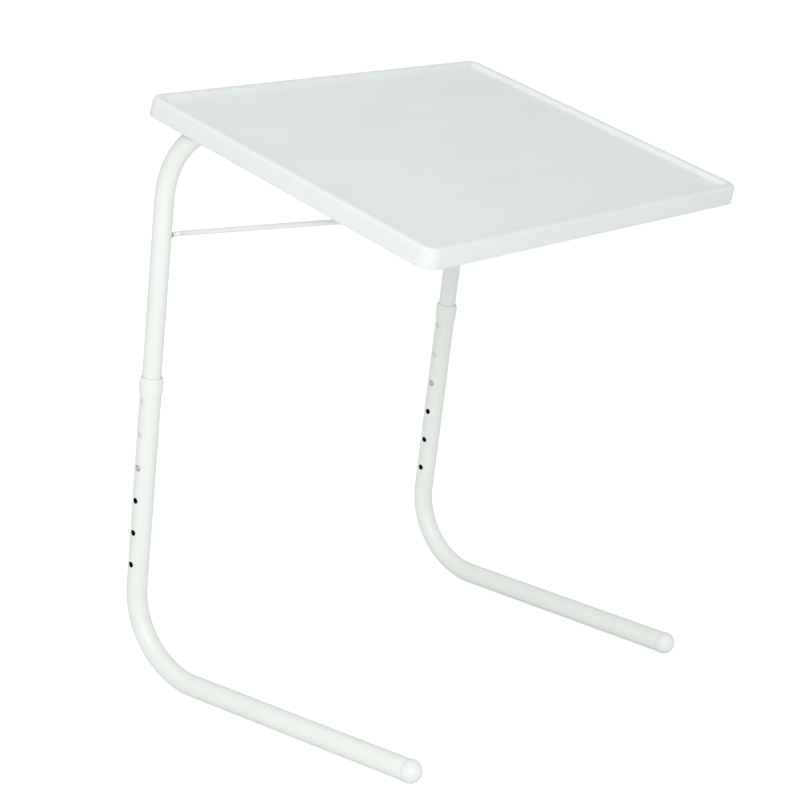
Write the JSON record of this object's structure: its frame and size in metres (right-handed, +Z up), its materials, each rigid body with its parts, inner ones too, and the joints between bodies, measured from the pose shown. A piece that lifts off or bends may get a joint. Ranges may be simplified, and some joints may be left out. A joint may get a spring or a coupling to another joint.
{
  "type": "folding tilt-top tray table",
  "caption": "Lap-height tray table: raised-rim tray hinged on two C-shaped tubular legs with pin-set height, a wire tilt strut and capped feet.",
  "frame": {"origin": "on the floor under the middle of the table's footprint box, with the legs in their third hole and the tray in its middle notch", "axes": "+X to the seated user's right, +Y away from the user towards the posts, +Z up"},
  "size_m": [0.52, 0.4488, 0.6608],
  "materials": {
    "tray_plastic": "fine matt grain, moulded",
    "painted_tube": "semi-gloss powder coat",
    "white_plastic": "satin moulded",
    "dark_rubber": "matt",
    "plated_steel": "zinc plated"
  },
  "bodies": {
    "upper_frame": {"cross_tube": "painted_tube", "upper_tube_left": "painted_tube", "upper_tube_right": "painted_tube", "tube_plug_left": "white_plastic", "tube_plug_right": "white_plastic", "strut_bush_left": "dark_rubber", "strut_bush_right": "dark_rubber", "clip_spring_left": "plated_steel", "clip_spring_right": "plated_steel"},
    "tray": {"tray_top": "tray_plastic", "hinge_bracket_left": "white_plastic", "notch_rack_left": "white_plastic", "hinge_bracket_right": "white_plastic", "notch_rack_right": "white_plastic", "bracket_screw_left_front": "plated_steel", "bracket_screw_left_rear": "plated_steel", "rack_screw_left_front": "plated_steel", "rack_screw_left_rear": "plated_steel", "bracket_screw_right_front": "plated_steel", "bracket_screw_right_rear": "plated_steel", "rack_screw_right_front": "plated_steel", "rack_screw_right_rear": "plated_steel"},
    "strut": {"tilt_strut": "painted_tube"},
    "leg_left": {"lower_tube_left": "painted_tube", "collar_left": "white_plastic", "foot_cap_left": "white_plastic"},
    "button_left_outer": {"height_button_left_outer": "plated_steel"},
    "button_left_inner": {"height_button_left_inner": "plated_steel"},
    "leg_right": {"lower_tube_right": "painted_tube", "collar_right": "white_plastic", "foot_cap_right": "white_plastic"},
    "button_right_outer": {"height_button_right_outer": "plated_steel"},
    "button_right_inner": {"height_button_right_inner": "plated_steel"}
  },
  "joints": [
    {"name": "tray_tilt", "type": "hinge", "parent": "upper_frame", "child": "tray", "pos_m": [0, 0.1058, 0.62208], "axis": [1, 0, 0], "range_deg": [-15.3, 82]},
    {"name": "strut_swing", "type": "hinge", "parent": "tray", "child": "strut", "pos_m": [0, -0.12504, 0.56775], "axis": [-1, 0, 0], "range_deg": [-21, 111]},
    {"name": "leg_height_left", "type": "slide", "parent": "upper_frame", "child": "leg_left", "axis": [0, 0.1271, -0.9919], "range_m": [-0.1167, 0.0778], "deforming": ["height_button_left_outer", "height_button_left_inner"]},
    {"name": "leg_height_right", "type": "slide", "parent": "upper_frame", "child": "leg_right", "axis": [0, 0.1271, -0.9919], "range_m": [-0.1167, 0.0778], "deforming": ["height_button_right_outer", "height_button_right_inner"]},
    {"name": "button_press_left_outer", "type": "slide", "parent": "upper_frame", "child": "button_left_outer", "axis": [1, 0, 0], "range_m": [0, 0.0035], "stiffness_N_per_m": 900, "springref_m": -0.003, "deforming": ["clip_spring_left"]},
    {"name": "button_press_left_inner", "type": "slide", "parent": "upper_frame", "child": "button_left_inner", "axis": [-1, 0, 0], "range_m": [0, 0.0035], "stiffness_N_per_m": 900, "springref_m": -0.003},
    {"name": "button_press_right_outer", "type": "slide", "parent": "upper_frame", "child": "button_right_outer", "axis": [-1, 0, 0], "range_m": [0, 0.0035], "stiffness_N_per_m": 900, "springref_m": -0.003, "deforming": ["clip_spring_right"]},
    {"name": "button_press_right_inner", "type": "slide", "parent": "upper_frame", "child": "button_right_inner", "axis": [1, 0, 0], "range_m": [0, 0.0035], "stiffness_N_per_m": 900, "springref_m": -0.003}
  ],
  "couplings": [
    {"joint": "strut_swing", "follows": "tray_tilt", "ratio": 1.35}
  ]
}
